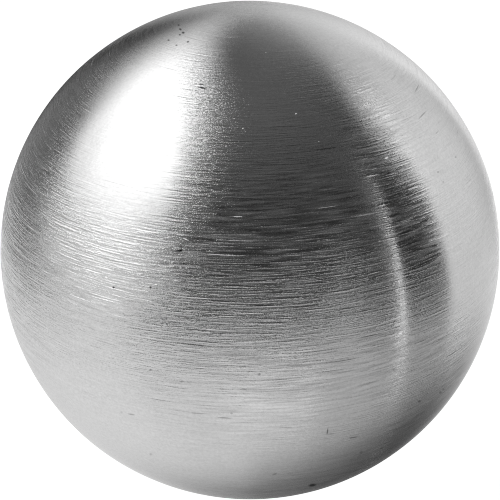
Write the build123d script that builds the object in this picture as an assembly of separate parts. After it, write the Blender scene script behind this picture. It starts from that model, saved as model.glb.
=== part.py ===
from build123d import *
import os

# Hollow steel ball: one sealed, thin-walled spherical shell.
# Millimetres. Origin at the ball's centre, +Z up, along the axis that the
# ball was turned about while its surface was ground.

# ---- driving dimensions -------------------------------------------------
OUTER_D = 60.0   # outside diameter of the ball
WALL = 1.5       # wall thickness, even all round

# ---- derived ------------------------------------------------------------
OUTER_R = OUTER_D / 2.0
INNER_R = OUTER_R - WALL   # radius of the closed hollow inside

# ---- shell --------------------------------------------------------------
# Half of the wall's section in the XZ plane: a half ring from the top pole
# to the bottom pole. Turned once about Z it gives the outside face, the
# inside face and the sealed hollow between, as one solid with no seam,
# hole or flat.
with BuildPart() as ball:
    with BuildSketch(Plane.XZ):
        with BuildLine():
            outside = ThreePointArc((0, OUTER_R), (OUTER_R, 0), (0, -OUTER_R))
            Line((0, -OUTER_R), (0, -INNER_R))
            inside = ThreePointArc((0, -INNER_R), (INNER_R, 0), (0, INNER_R))
            Line((0, INNER_R), (0, OUTER_R))
        make_face()
    revolve(axis=Axis.Z, revolution_arc=360)

shell = ball.part

# ---- checks on the section and the weight -------------------------------
PI = 3.141592653589793
STEEL_KG_PER_MM3 = 7.93e-6   # austenitic stainless sheet
expected = 4.0 / 3.0 * PI * (OUTER_R ** 3 - INNER_R ** 3)
size = shell.bounding_box().size
print("solids", len(shell.solids()), "shells", len(shell.shells()), "faces", len(shell.faces()))
print("volume mm3", round(shell.volume, 2), "expected", round(expected, 2))
print("mass kg", round(shell.volume * STEEL_KG_PER_MM3, 4))
print("size mm", round(size.X, 4), round(size.Y, 4), round(size.Z, 4))
assert len(shell.solids()) == 1
assert abs(shell.volume / expected - 1) < 1e-6

os.makedirs("parts", exist_ok=True)
export_step(shell.solids()[0], "parts/ball_shell.step")
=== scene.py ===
import math

import bpy
import numpy as np
from mathutils import Matrix, Vector


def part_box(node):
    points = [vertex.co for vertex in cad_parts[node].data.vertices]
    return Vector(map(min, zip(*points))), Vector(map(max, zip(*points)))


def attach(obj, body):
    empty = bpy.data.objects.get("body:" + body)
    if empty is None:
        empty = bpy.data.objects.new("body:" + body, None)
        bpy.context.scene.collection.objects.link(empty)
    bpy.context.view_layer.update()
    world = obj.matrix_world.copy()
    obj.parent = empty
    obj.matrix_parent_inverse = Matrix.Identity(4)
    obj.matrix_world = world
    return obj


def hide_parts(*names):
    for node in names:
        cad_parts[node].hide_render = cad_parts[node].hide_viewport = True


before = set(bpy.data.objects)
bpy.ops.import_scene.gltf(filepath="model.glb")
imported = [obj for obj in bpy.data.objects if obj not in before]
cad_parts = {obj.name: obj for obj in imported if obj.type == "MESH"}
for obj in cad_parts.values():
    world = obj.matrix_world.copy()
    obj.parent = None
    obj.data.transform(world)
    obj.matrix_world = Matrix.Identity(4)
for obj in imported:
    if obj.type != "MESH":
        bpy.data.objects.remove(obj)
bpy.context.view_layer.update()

lowest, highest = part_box("ball_shell")
R = (highest.z - lowest.z) / 2           # outside radius of the ball, metres
WALL = 0.0015                            # wall thickness, metres

scene = bpy.context.scene


def toward(azimuth, elevation):
    """Unit vector from the ball's middle. Azimuth 0 is the camera's side and 90 its right."""
    a, e = math.radians(azimuth), math.radians(elevation)
    return Vector((math.sin(a) * math.cos(e), -math.cos(a) * math.cos(e), math.sin(e)))


def look_back(obj, away, distance, roll=0.0):
    """Puts obj that far from the ball's middle, with its -Z at the ball."""
    obj.location = away * distance
    obj.rotation_mode = "QUATERNION"
    turn = Matrix.Rotation(math.radians(roll), 4, "Z").to_quaternion()
    obj.rotation_quaternion = (-away).to_track_quat("-Z", "Y") @ turn


# ---------------------------------------------------------------- camera
CAMERA_ELEVATION = 25.0   # the grinding lines show as ellipses seen from this far above
CAMERA_ROLL = -1.0        # they rise a little to the right
LENS = 100.0
SENSOR = 36.0

half_frame = SENSOR / 2 / LENS
outline = half_frame * 249.54 / 250.0    # the ball's outline fills the frame from side to side
camera_distance = R / math.sin(math.atan(outline))
cam = bpy.data.cameras.new("camera")
cam.lens, cam.sensor_width, cam.sensor_fit = LENS, SENSOR, "HORIZONTAL"
cam.clip_start, cam.clip_end = 0.005, 20.0
camera = bpy.data.objects.new("camera", cam)
scene.collection.objects.link(camera)
look_back(camera, toward(0, CAMERA_ELEVATION), camera_distance, CAMERA_ROLL)
scene.camera = camera
bpy.context.view_layer.update()


def on_ball(x, y):
    """The point of the unit ball that shows at a pixel of the 500 x 500 frame."""
    d = Vector(((x - 249.5) / 250.0 * half_frame, (249.5 - y) / 250.0 * half_frame, -1.0))
    d = (camera.rotation_quaternion @ d).normalized()
    o = camera.location / R
    b = d.dot(o)
    return (o + d * (-b - math.sqrt(max(b * b - o.dot(o) + 1.0, 0.0)))).normalized()


# ---------------------------------------------------------------- the ball
def smooth_noise(rng, rows, cols, row_reach, col_reach):
    """Even noise on a rows x cols sheet that closes on itself, smoothed by so many cells each way, rms 1."""
    f = np.fft.rfft2(rng.standard_normal((rows, cols)))
    fr = np.fft.fftfreq(rows)[:, None]
    fc = np.fft.rfftfreq(cols)[None, :]
    f *= np.exp(-2 * (math.pi * row_reach * fr) ** 2 - 2 * (math.pi * col_reach * fc) ** 2)
    f[0, 0] = 0
    out = np.fft.irfft2(f, s=(rows, cols))
    return out / out.std()


def shell_rows(radius, lats, lons):
    """Points of a closed surface in rings from the top to the bottom. radius holds a length for each."""
    theta = np.linspace(0, math.pi, lats + 1)[:, None]
    phi = (np.arange(lons) / lons * 2 * math.pi)[None, :]
    # phi 0 is the far side, where the map's seam is
    unit = np.stack(
        [-np.sin(theta) * np.sin(phi), np.sin(theta) * np.cos(phi), np.cos(theta) * np.ones_like(phi)], -1
    )
    return unit * radius[:, :, None]


def shell_faces(points, lats, lons, inward, first, window):
    """Vertices, faces and map corners of one closed surface. window is its place on the map."""
    u0, v0, u1, v1 = window
    verts = [tuple(points[0, 0])]
    for j in range(1, lats):
        verts.extend(map(tuple, points[j]))
    verts.append(tuple(points[lats, 0]))
    last = first + len(verts) - 1

    def at(j, i):
        return first if j == 0 else last if j == lats else first + 1 + (j - 1) * lons + i % lons

    def uv(j, i):
        return (u0 + (u1 - u0) * i / lons, v1 - (v1 - v0) * j / lats)

    faces, corners = [], []
    for j in range(lats):
        for i in range(lons):
            if j == 0:
                f = [at(0, i), at(1, i), at(1, i + 1)]
                c = [uv(0, i + 0.5), uv(1, i), uv(1, i + 1)]
            elif j == lats - 1:
                f = [at(j, i), at(lats, i), at(j, i + 1)]
                c = [uv(j, i), uv(lats, i + 0.5), uv(j, i + 1)]
            else:
                f = [at(j, i), at(j + 1, i), at(j + 1, i + 1), at(j, i + 1)]
                c = [uv(j, i), uv(j + 1, i), uv(j + 1, i + 1), uv(j, i + 1)]
            if inward:
                f.reverse()
                c.reverse()
            faces.append(f)
            corners.extend(c)
    return verts, faces, corners


LATS, LONS = 384, 224
rng = np.random.default_rng(60)
cells_per_mm_down = LATS / (math.pi * R * 1000)
cells_per_mm_round = LONS / (2 * math.pi * R * 1000)


def waves(across_mm, along_mm):
    """Waviness with crests about so far apart across the grinding lines and so long along them."""
    sheet = smooth_noise(rng, 2 * LATS, LONS, 0.23 * across_mm * cells_per_mm_down, 0.23 * along_mm * cells_per_mm_round)
    return sheet[: LATS + 1]


theta = np.linspace(0, math.pi, LATS + 1)
hold = np.clip(np.sin(theta) / math.sin(math.radians(14)), 0, 1)[:, None] ** 2   # the rings close up at the poles
wave = (
    0.0008 * waves(1.3, 9.0)      # passes of the belt
    + 0.0015 * waves(3.0, 16.0)
    + 0.0060 * waves(11.0, 30.0)  # the pressed sheet was never quite round
) * 0.001 * hold
wave -= wave.max()
outer = shell_rows(R + wave, LATS, LONS)
inner_lats, inner_lons = 32, 64
inner = shell_rows(np.full((inner_lats + 1, inner_lons), R - WALL), inner_lats, inner_lons)
va, fa, ca = shell_faces(outer, LATS, LONS, False, 0, (0.001, 0.126, 0.999, 0.999))
vb, fb, cb = shell_faces(inner, inner_lats, inner_lons, True, len(va), (0.001, 0.001, 0.24, 0.12))
mesh = bpy.data.meshes.new("ground_ball")
mesh.from_pydata(va + vb, [], fa + fb)
layer = mesh.uv_layers.new(name="OFBake")
layer.uv.foreach_set("vector", np.array(ca + cb, np.float32).ravel())
mesh.polygons.foreach_set("use_smooth", np.ones(len(mesh.polygons), bool))
mesh.update()
ball = bpy.data.objects.new("ground_ball", mesh)
scene.collection.objects.link(ball)


# ---------------------------------------------------------------- ground steel
class Tree:
    """Short names for the nodes of one tree."""

    def __init__(self, tree):
        self.tree = tree
        tree.nodes.clear()

    def node(self, kind, **settings):
        n = self.tree.nodes.new(kind)
        for k, v in settings.items():
            setattr(n, k, v)
        return n

    def put(self, socket, value):
        if isinstance(value, bpy.types.NodeSocket):
            self.tree.links.new(value, socket)
        else:
            socket.default_value = value

    def math(self, op, a, b=None, c=None, clamp=False):
        n = self.node("ShaderNodeMath", operation=op, use_clamp=clamp)
        for s, v in zip(n.inputs, (a, b, c)):
            if v is not None:
                self.put(s, v)
        return n.outputs[0]

    def vec(self, op, a, b=None, scale=None):
        n = self.node("ShaderNodeVectorMath", operation=op)
        self.put(n.inputs[0], a)
        if b is not None:
            self.put(n.inputs[1], b)
        if scale is not None:
            self.put(n.inputs["Scale"], scale)
        return n.outputs["Value"] if op in ("DOT_PRODUCT", "LENGTH", "DISTANCE") else n.outputs["Vector"]

    def split(self, v):
        n = self.node("ShaderNodeSeparateXYZ")
        self.put(n.inputs[0], v)
        return n.outputs["X"], n.outputs["Y"], n.outputs["Z"]

    def join(self, x, y, z):
        n = self.node("ShaderNodeCombineXYZ")
        for s, v in zip(n.inputs, (x, y, z)):
            self.put(s, v)
        return n.outputs[0]

    def noise(self, v, scale=1.0, detail=0.0, rough=0.5, colour=False, fourth=None):
        n = self.node("ShaderNodeTexNoise", noise_dimensions="3D" if fourth is None else "4D")
        if fourth is not None:
            self.put(n.inputs["W"], fourth)
        self.put(n.inputs["Vector"], v)
        self.put(n.inputs["Scale"], scale)
        self.put(n.inputs["Detail"], detail)
        self.put(n.inputs["Roughness"], rough)
        return n.outputs["Color" if colour else 0]

    def ramp(self, v, a, b, c=0.0, d=1.0, smooth=True):
        n = self.node("ShaderNodeMapRange", interpolation_type="SMOOTHSTEP" if smooth else "LINEAR")
        self.put(n.inputs["Value"], v)
        for k, x in zip(("From Min", "From Max", "To Min", "To Max"), (a, b, c, d)):
            self.put(n.inputs[k], x)
        return n.outputs[0]

    def total(self, *values):
        out = values[0]
        for v in values[1:]:
            out = self.math("ADD", out, v)
        return out


steel = bpy.data.materials.new("ground_steel")
steel.use_nodes = True
t = Tree(steel.node_tree)
unit = t.vec("NORMALIZE", t.node("ShaderNodeTexCoord").outputs["Object"])
normal = t.node("ShaderNodeNewGeometry").outputs["Normal"]
level = t.vec("NORMALIZE", t.vec("CROSS_PRODUCT", (0, 0, 1), unit))     # along the grinding lines
slope = t.vec("CROSS_PRODUCT", unit, level)                             # across them, towards the top
_, _, height = t.split(unit)
ring = t.math("MAXIMUM", t.math("SQRT", t.math("SUBTRACT", 1.0, t.math("MULTIPLY", height, height))), 0.02)

# towards the poles, where the belt ran every way, the marks turn this way and that from one spot to the next
spread = t.math("MAXIMUM", t.math("SUBTRACT", t.math("DIVIDE", 1.0, ring), 1.75), 0.0)
stray = t.math("MULTIPLY", t.math("SUBTRACT", t.noise(unit, scale=800.0), 0.5), t.math("MULTIPLY", spread, 0.60))
turn = t.node("ShaderNodeVectorRotate", rotation_type="AXIS_ANGLE")
t.put(turn.inputs["Vector"], level)
t.put(turn.inputs["Axis"], unit)
t.put(turn.inputs["Angle"], stray)
along_marks = turn.outputs[0]


def lines(tilt, along, across, place, step=0.5):
    """Furrows that run level about an axis tilted by so many degrees. along and across are cells to a radius. Gives
    their slope, which is the height a little above less that a little below, and their height from -1 to 1."""
    n = t.node("ShaderNodeVectorRotate", rotation_type="EULER_XYZ")
    t.put(n.inputs["Vector"], unit)
    n.inputs["Rotation"].default_value = [math.radians(a) for a in (*tilt, 0.0)]
    x, y, z = t.split(n.outputs[0])
    polar = t.math("ARCCOSINE", z)
    x = t.math("MULTIPLY_ADD", x, along, place)
    y = t.math("MULTIPLY_ADD", y, along, 1.7 * place)
    above = t.math("MULTIPLY_ADD", polar, across, 2.3 * place)
    upper = t.noise(t.join(x, y, above))
    lower = t.noise(t.join(x, y, t.math("ADD", above, step)))
    return t.math("SUBTRACT", upper, lower), t.math("MULTIPLY_ADD", t.math("ADD", upper, lower), 1.0, -1.0)


def cubed(v):
    """Keeps the few large values and quiets the rest."""
    return t.math("MULTIPLY", v, t.math("MULTIPLY", v, v))


# how deep the marks are: in patches, as the belt took more in some places, most in a band above the middle, and least
# underneath and at the poles
patch = t.ramp(t.noise(t.vec("MULTIPLY", unit, (5.0, 5.0, 11.0)), detail=1.0), 0.3, 0.7, 0.86, 1.14)
east, _, _ = t.split(unit)
west = t.math("MULTIPLY", t.ramp(east, 0.10, -0.40), t.ramp(height, -0.35, 0.05))
band = t.math("MULTIPLY", t.ramp(height, 0.08, 0.34), t.ramp(height, 0.80, 0.46))
crown = t.ramp(height, 0.80, 0.97)
below = t.ramp(height, -0.02, -0.48)
depth = t.math("MULTIPLY", patch, t.math("MULTIPLY_ADD", crown, -0.85, 1.0))
depth = t.math("MULTIPLY", depth, t.math("MULTIPLY_ADD", west, 0.50, 0.82))
depth = t.math("MULTIPLY", depth, t.math("MULTIPLY_ADD", band, 0.45, 0.85))
depth = t.math("MULTIPLY", depth, t.math("MULTIPLY_ADD", below, -0.85, 1.0))
# and little in one patch at the upper left
upper_west = t.math("MULTIPLY", t.ramp(t.vec("DOT_PRODUCT", unit, on_ball(146, 128)), 0.90, 0.968), t.ramp(east, -0.15, -0.32))
upper_west = t.math("MULTIPLY_ADD", upper_west, -0.86, 1.0)
depth = t.math("MULTIPLY", depth, upper_west)
calm = t.math("MULTIPLY", t.math("MULTIPLY_ADD", crown, -0.80, 1.0), t.math("MULTIPLY_ADD", below, -0.75, 1.0))
even = t.math("MULTIPLY", calm, upper_west)

fine_a, fine_a_height = lines((0.7, -0.5), 13.0, 260.0, 3.1)
fine_b, fine_b_height = lines((-0.8, 0.6), 8.0, 190.0, 17.3)
middle, middle_height = lines((0.3, 0.9), 4.0, 85.0, 29.9)
broad, _ = lines((-0.4, -0.7), 2.5, 30.0, 41.7)
scratch, scratch_height = lines((1.4, -1.7), 7.0, 180.0, 67.7)
grain = t.noise(unit, scale=330.0, colour=True, fourth=0.5)
grain_x, grain_y, _ = t.split(t.vec("SUBTRACT", grain, (0.5, 0.5, 0.5)))
grain_west = t.ramp(east, 0.42, -0.05)

cut = t.total(
    t.math("MULTIPLY", fine_a, 0.39),
    t.math("MULTIPLY", fine_b, 0.285),
    t.math("MULTIPLY", middle, 0.05),
    t.math("MULTIPLY", broad, 0.02),
    t.math("MULTIPLY", cubed(scratch), 7.0),
)
tip_across = t.math("MULTIPLY", t.math("MULTIPLY_ADD", grain_y, 0.80, cut), depth)
tip_along = t.math("MULTIPLY", grain_x, t.math("MULTIPLY_ADD", grain_west, 0.48, 0.07))
tip_along = t.math("MULTIPLY", even, tip_along)


def mark(x, y, length, width, rise, most):
    """How strongly one mark shows, up to most in its middle. In the frame it lies about the pixel x, y, so many pixels
    long and wide, and rises to the right by so many degrees."""
    spot = on_ball(x, y)
    c, s = 0.5 * math.cos(math.radians(rise)), 0.5 * math.sin(math.radians(rise))
    ahead = (on_ball(x + c, y - s) - on_ball(x - c, y + s)) * length
    aside = (on_ball(x + s, y + c) - on_ball(x - s, y - c)) * width
    first = Vector((0, 0, 1)).cross(spot).normalized()
    second = spot.cross(first)
    axes, size, _ = np.linalg.svd([[ahead.dot(first), aside.dot(first)], [ahead.dot(second), aside.dot(second)]])
    if size[0] < 1.35 * size[1]:     # as good as round
        away, reach = t.vec("DISTANCE", unit, spot), math.sqrt(size[0] * size[1]) / 2
        return t.ramp(away, 1.4 * reach, 0.4 * reach, 0.0, most)
    long = first * axes[0, 0] + second * axes[1, 0]
    n = t.node("ShaderNodeMapping", vector_type="TEXTURE")
    t.put(n.inputs["Vector"], unit)
    n.inputs["Location"].default_value = spot
    n.inputs["Rotation"].default_value = Matrix((long, spot.cross(long), spot)).transposed().to_euler()
    n.inputs["Scale"].default_value = (size[0] / 2, size[1] / 2, 0.3)
    return t.ramp(t.vec("LENGTH", n.outputs[0]), 1.4, 0.4, 0.0, most)


# nicks and scratches whose bright side leans so far to the left or right
tip_along = t.total(
    tip_along,
    mark(386.2, 157.4, 3.4, 2.0, 30, 0.29),
    mark(295.4, 113.2, 2.4, 0.6, 12, -0.80),
    mark(318.4, 140.8, 1.1, 0.9, 0, -0.80),
    mark(242.4, 127.8, 1.2, 0.8, 0, -0.50),
    mark(265.4, 51.8, 0.9, 0.9, 0, -0.45),
    mark(205.0, 139.4, 6.0, 2.0, 15, -0.08),
    mark(239.0, 216.3, 18.0, 0.7, -1, -0.38),
    mark(232.7, 36.5, 13.0, 1.2, 0, -0.05),
)

bumped = t.vec(
    "NORMALIZE",
    t.vec("ADD", normal, t.vec("ADD", t.vec("SCALE", slope, scale=tip_across), t.vec("SCALE", level, scale=tip_along))),
)

ROUGHNESS, STRETCH = 0.2298, 1.0
rough = t.total(
    t.math("MULTIPLY", fine_a_height, 0.45),
    t.math("MULTIPLY", fine_b_height, 0.75),
    t.math("MULTIPLY", middle_height, 0.06),
)
rough = t.math("MULTIPLY", ROUGHNESS, t.math("MULTIPLY_ADD", rough, even, 1.0))
# painted shade in the furrows: the colour is a little darker along the furrows' bottoms and lighter along their crests
tone = t.total(
    t.math("MULTIPLY", fine_a_height, 0.11),
    t.math("MULTIPLY", fine_b_height, 0.06),
    t.math("MULTIPLY", scratch_height, 0.03),
)
mottle = t.math("MULTIPLY_ADD", t.noise(unit, scale=95.0, detail=2.0), 0.30, 1.0 - 0.30 / 2)
tone = t.math("MULTIPLY", t.math("MULTIPLY", 0.62, mottle), t.math("MULTIPLY_ADD", tone, even, 1.0))

# pits, nicks and scratches, with their shade painted into the colour as darker spots: x, y, length, width, rise to the
# right and how much darker they look
PAINTED_PITS = (
    # lower front
    (150.0, 369.5, 2.6, 2.6, 0, 0.21), (181.0, 381.0, 4.0, 1.6, 0, 0.13), (131.0, 414.0, 7.0, 1.5, -10, 0.19),
    (121.0, 412.0, 2.6, 2.6, 0, 0.09), (231.0, 413.0, 2.4, 2.4, 0, 0.15), (224.0, 417.5, 14.0, 1.3, -4, 0.25),
    (197.5, 413.0, 15.0, 1.3, -4, 0.16), (150.0, 454.0, 2.6, 2.4, 0, 0.12), (259.0, 374.0, 2.8, 2.4, 0, 0.30),
    (243.0, 389.0, 7.0, 1.8, 0, 0.13), (222.0, 389.0, 6.0, 1.3, 0, 0.14), (327.0, 431.0, 6.5, 1.5, 80, 0.38),
    (331.0, 433.5, 8.0, 1.3, 5, 0.16), (312.0, 485.0, 8.0, 3.0, 8, 0.55), (353.0, 437.0, 10.0, 1.4, 8, 0.29),
    (274.0, 474.0, 5.0, 1.7, 20, 0.18), (381.0, 448.0, 2.6, 2.6, 0, 0.14), (361.0, 452.0, 3.0, 3.0, 0, 0.11),
    # right side
    (419.0, 401.0, 3.2, 2.2, 20, 0.24), (440.0, 392.0, 3.0, 2.4, 30, 0.24), (443.0, 389.0, 2.6, 2.4, 0, 0.19),
    (416.8, 87.4, 9.0, 1.4, 63, 0.22), (422.2, 114.3, 11.0, 1.5, 47, 0.20), (393.0, 77.0, 7.0, 1.4, 50, 0.09),
    (436.8, 131.7, 4.5, 1.4, 49, 0.14), (437.6, 171.5, 2.2, 2.2, 0, 0.16), (455.4, 156.6, 1.9, 1.9, 0, 0.20),
    (443.0, 181.5, 2.0, 2.0, 0, 0.13), (387.8, 172.4, 2.8, 2.4, 0, 0.35),
    # upper left
    (178.0, 24.5, 2.4, 2.0, -30, 0.41), (179.8, 28.7, 3.0, 2.0, -30, 0.58), (182.6, 32.0, 3.2, 2.2, 0, 0.63),
    (179.3, 34.1, 2.4, 1.7, 0, 0.44), (168.0, 39.5, 2.4, 1.8, 0, 0.46), (187.4, 41.1, 2.6, 1.8, 20, 0.48),
    (175.9, 44.6, 2.2, 1.6, 0, 0.42), (201.8, 87.2, 8.3, 1.9, -13, 0.68), (200.8, 83.8, 6.0, 1.4, -10, 0.55),
    # left side
    (113.0, 287.0, 2.6, 2.2, 0, 0.62), (150.0, 287.0, 2.6, 2.2, 0, 0.56), (178.5, 250.3, 8.0, 1.8, 0, 0.68),
    (180.5, 248.0, 5.0, 1.4, 90, 0.55), (183.0, 263.0, 2.2, 2.0, 0, 0.48),
)
painted_pit_shade = t.total(*(mark(*where, 1.0 - (1.0 - darker) ** 2.2) for *where, darker in PAINTED_PITS))
# and a few like them on the far side, their shade painted as darker spots too
speck = t.node("ShaderNodeTexVoronoi")
t.put(speck.inputs["Vector"], unit)
t.put(speck.inputs["Scale"], 11.0)
some, _, _ = t.split(speck.outputs["Color"])
far = t.math("MULTIPLY", t.ramp(t.vec("DOT_PRODUCT", unit, tuple(toward(0, 25))), 0.10, -0.05), t.ramp(some, 0.5, 0.9))
painted_pit_shade = t.math("ADD", painted_pit_shade, t.math("MULTIPLY", far, t.ramp(speck.outputs["Distance"], 0.055, 0.02, 0.0, 0.55)))
# the painted shade of the pits darkens the steel's colour
tone = t.math("MULTIPLY", tone, t.math("SUBTRACT", 1.0, painted_pit_shade, clamp=True))
shader = t.node("ShaderNodeBsdfPrincipled")
t.put(shader.inputs["Base Color"], t.join(tone, tone, tone))
t.put(shader.inputs["Roughness"], rough)
t.put(shader.inputs["Normal"], bumped)
t.put(shader.inputs["Tangent"], along_marks)
shader.inputs["Metallic"].default_value = 1.0
shader.inputs["Anisotropic"].default_value = STRETCH
shader.inputs["Anisotropic Rotation"].default_value = 0.25
t.tree.links.new(shader.outputs[0], t.node("ShaderNodeOutputMaterial").inputs["Surface"])
mesh.materials.append(steel)

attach(ball, "root")
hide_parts("ball_shell")


# ---------------------------------------------------------------- floor, surroundings and lights
def plane(name, size, z):
    m = bpy.data.meshes.new(name)
    m.from_pydata([(-size, -size, z), (size, -size, z), (size, size, z), (-size, size, z)], [], [(0, 1, 2, 3)])
    o = bpy.data.objects.new(name, m)
    scene.collection.objects.link(o)
    return o


FLOOR = 0.90
floor = plane("floor", 4.0, lowest.z)
paper = bpy.data.materials.new("floor_paper")
paper.use_nodes = True
f = Tree(paper.node_tree)
ray = f.node("ShaderNodeLightPath").outputs["Is Camera Ray"]
matt = f.node("ShaderNodeBsdfDiffuse")
matt.inputs["Color"].default_value = (FLOOR, FLOOR, FLOOR, 1)
glow = f.node("ShaderNodeEmission")
glow.inputs["Strength"].default_value = 1.16
mix = f.node("ShaderNodeMixShader")
f.put(mix.inputs[0], f.math("MULTIPLY", ray, 0.85))
f.tree.links.new(matt.outputs[0], mix.inputs[1])
f.tree.links.new(glow.outputs[0], mix.inputs[2])
f.tree.links.new(mix.outputs[0], f.node("ShaderNodeOutputMaterial").inputs["Surface"])
floor.data.materials.append(paper)
floor.visible_glossy = False     # the ball shows the table that the surroundings hold

world = bpy.data.worlds.new("studio")
scene.world = world
world.use_nodes = True
w = Tree(world.node_tree)
dx, dy, dz = w.split(w.node("ShaderNodeTexCoord").outputs["Generated"])
azimuth = w.math("DEGREES", w.math("ARCTAN2", dx, w.math("MULTIPLY", dy, -1.0)))    # as in toward()
elevation = w.math("DEGREES", w.math("ARCSINE", dz))


def fade_in(x, width):
    """From 0 to 1 over so many degrees, half way at 0."""
    return w.ramp(x, -width / 2, width / 2)


def card(az, el, width, tall, bright, fade, lean=(0, 0, 0, 0)):
    """A soft light that takes up so many degrees of the surroundings. fade is how many degrees its left, right, lower
    and upper edges take, and lean how far each of them slants."""
    a = w.math("WRAP", w.math("SUBTRACT", azimuth, az), 180.0, -180.0)
    e = w.math("SUBTRACT", elevation, el)
    left = w.math("ADD", w.math("MULTIPLY_ADD", e, -lean[0], a), width / 2)
    right = w.math("SUBTRACT", width / 2, w.math("MULTIPLY_ADD", e, -lean[1], a))
    lower = w.math("ADD", w.math("MULTIPLY_ADD", a, -lean[2], e), tall / 2)
    upper = w.math("SUBTRACT", tall / 2, w.math("MULTIPLY_ADD", a, -lean[3], e))
    out = w.math("MULTIPLY", fade_in(left, fade[0]), fade_in(right, fade[1]))
    out = w.math("MULTIPLY", out, w.math("MULTIPLY", fade_in(lower, fade[2]), fade_in(upper, fade[3])))
    return w.math("MULTIPLY", out, bright)


def around(az, middle, swing):
    """A number that swings round the compass, largest at az."""
    c = w.math("COSINE", w.math("RADIANS", w.math("SUBTRACT", azimuth, az)))
    return w.math("MULTIPLY_ADD", c, swing, middle)


# the pale table under the ball, out to where it ends, less the ball's own shadow at the back right
table = w.math("MULTIPLY", fade_in(w.math("SUBTRACT", around(-30.2, -14.49, 5.24), elevation), 8.5),
               around(-92.6, 0.795, 0.231))
AIM = 140.6, -58.8
aim = toward(*AIM)
side = Vector((math.cos(math.radians(AIM[0])), math.sin(math.radians(AIM[0])), 0.0))
rise = aim.cross(side)
way = w.join(dx, dy, dz)
off_side = w.vec("DOT_PRODUCT", way, tuple(side))
off_rise = w.vec("DOT_PRODUCT", way, tuple(rise - side * -0.211))
off = w.math("SQRT", w.math("ADD",
             w.math("POWER", w.math("DIVIDE", off_side, 0.281), 2.0),
             w.math("POWER", w.math("DIVIDE", off_rise, 0.268), 2.0)))
front = w.math("GREATER_THAN", w.vec("DOT_PRODUCT", way, tuple(aim)), 0.0)
shade = w.math("MULTIPLY", w.ramp(off, 2.419, 1.0), w.math("MULTIPLY", front, 0.956))
table = w.math("MULTIPLY", table, w.math("SUBTRACT", 1.0, shade))

light = w.total(
    0.023,  # the dark room
    w.math("MULTIPLY", fade_in(w.math("SUBTRACT", elevation, 58), 50), 0.125),  # its ceiling
    table,
    # the main softbox and its lower end
    card(-96.2, 55, 96.76, 23, 3.359, (49.13, 11.28, 50.9, 36.4), (0.703, -0.376, 0.093, -0.048)),
    card(-78.8, 23, 56.31, 38.7, 1.353, (20.52, 34.07, 40, 40), (0, 0.063, -0.145, 0)),
    # the card on the right, with a sharp edge towards the camera, and a narrow lamp beside it
    card(126.3, 9.3, 63.24, 65.8, 0.934, (6.4, 80, 60, 36.7), (-0.011, 0, 0, 0.248)),
    card(67.3, -0.4, 1.3, 64.7, 2.72, (1.0, 1.2, 25.8, 79.6), (-0.03, -0.03, 0, 0)),
    # pale things at the back, right and left
    card(168.8, 5, 34.36, 54.3, 0.53, (10.65, 19.24, 5, 40)),
    card(-148.8, -9.7, 25.35, 29.6, 0.333, (8.83, 55.98, 5, 37.4), (0, 0.071, 0, 0.658)),
    # the softbox's far side, the streak's soft glow, the upper end of the right card and the table's near side
    card(-116.1, 31.5, 11.47, 28.8, 0.938, (13.1, 11.64, 9.7, 50), (0.046, -0.461, 0, 0)),
    card(39.8, -5.9, 17.89, 10.3, 0.628, (20.57, 32.55, 5, 19.9)),
    card(109.5, 39.9, 12.29, 19.8, 1.318, (5, 19.53, 19.6, 13.2)),
    card(8.2, -45.5, 50.16, 19.8, 0.394, (9.62, 12.99, 36.2, 5)),
)
ray = w.node("ShaderNodeLightPath").outputs["Is Camera Ray"]
sky = w.node("ShaderNodeBackground")
sky.inputs["Color"].default_value = (1, 1, 1, 1)
w.put(sky.inputs["Strength"], w.math("MAXIMUM", w.math("MULTIPLY", light, w.math("SUBTRACT", 1.0, ray)), ray))
w.tree.links.new(sky.outputs[0], w.node("ShaderNodeOutputWorld").inputs["Surface"])

scene.view_settings.view_transform = "Standard"
scene.view_settings.look = "None"
scene.view_settings.exposure = 0.0
scene.view_settings.gamma = 1.0
scene.cycles.filter_width = 1.0

# the picture is cleaned only in part, so that it keeps the metal's finest grain
scene.cycles.use_denoising = False
bpy.context.view_layer.use_pass_normal = True
bpy.context.view_layer.use_pass_glossy_color = True
scene.use_nodes = True
picture = scene.node_tree
picture.nodes.clear()
taken = picture.nodes.new("CompositorNodeRLayers")
clean = picture.nodes.new("CompositorNodeDenoise")
both = picture.nodes.new("CompositorNodeMixRGB")
keep = picture.nodes.new("CompositorNodeMapRange")     # how much of the uncleaned picture stays, least where it is bright
keep.use_clamp = True
for k, x in zip(("From Min", "From Max", "To Min", "To Max"), (0.25, 0.95, 0.43, 0.08)):
    keep.inputs[k].default_value = x
picture.links.new(clean.outputs[0], keep.inputs["Value"])
picture.links.new(keep.outputs[0], both.inputs[0])
picture.links.new(taken.outputs["Image"], clean.inputs["Image"])
picture.links.new(taken.outputs["Normal"], clean.inputs["Normal"])
picture.links.new(taken.outputs["GlossCol"], clean.inputs["Albedo"])
picture.links.new(clean.outputs[0], both.inputs[1])
picture.links.new(taken.outputs["Image"], both.inputs[2])
picture.links.new(both.outputs[0], picture.nodes.new("CompositorNodeComposite").inputs[0])
